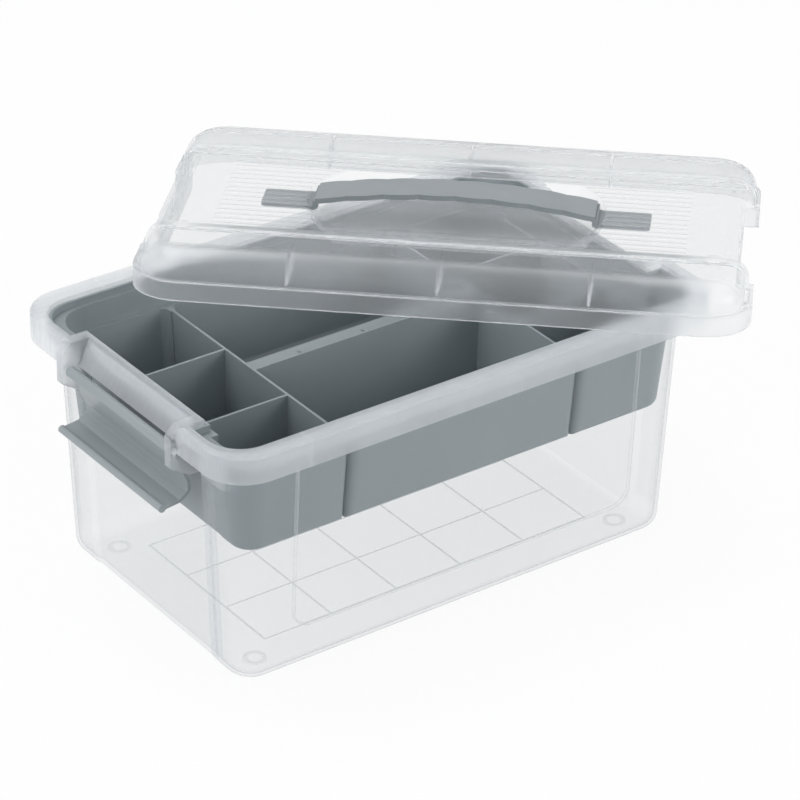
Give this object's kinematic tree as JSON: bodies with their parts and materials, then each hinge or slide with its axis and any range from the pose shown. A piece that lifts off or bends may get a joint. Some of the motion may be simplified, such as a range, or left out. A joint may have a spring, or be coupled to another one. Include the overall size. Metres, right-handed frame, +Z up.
{
  "type": "compartment storage box",
  "caption": "Clear lidded storage box with a hanging compartment tray, swinging end clips and a strap handle, lid lying askew on the rim.",
  "frame": {"origin": "middle of the tub's flat underside", "axes": "+X along the tub, -Y towards the long side that faces the viewer, +Z up"},
  "size_m": [0.4937, 0.4283, 0.2382],
  "materials": {
    "clear_plastic": "satin clear moulded plastic",
    "grey_plastic": "satin moulded plastic"
  },
  "bodies": {
    "tub": {"box_body": "clear_plastic"},
    "tray": {"insert_tray": "grey_plastic"},
    "lid": {"lid": "clear_plastic", "carry_handle": "grey_plastic"},
    "left_clip": {"clip_left": "grey_plastic"},
    "right_clip": {"clip_right": "grey_plastic"}
  },
  "joints": [
    {"name": "lid_lift", "type": "slide", "parent": "tub", "child": "lid", "axis": [0, 0, 1], "range_m": [0, 0.22]},
    {"name": "tray_lift", "type": "slide", "parent": "tub", "child": "tray", "axis": [0, 0, 1], "range_m": [0, 0.11]},
    {"name": "left_clip_swing", "type": "hinge", "parent": "tub", "child": "left_clip", "pos_m": [-0.192, 0, 0.16], "axis": [0, 1, 0], "range_deg": [0, 178]},
    {"name": "right_clip_swing", "type": "hinge", "parent": "tub", "child": "right_clip", "pos_m": [0.192, 0, 0.16], "axis": [0, -1, 0], "range_deg": [0, 100]}
  ],
  "couplings": [
    {"joint": "tray_lift", "follows": "lid_lift", "ratio": 0.5}
  ]
}
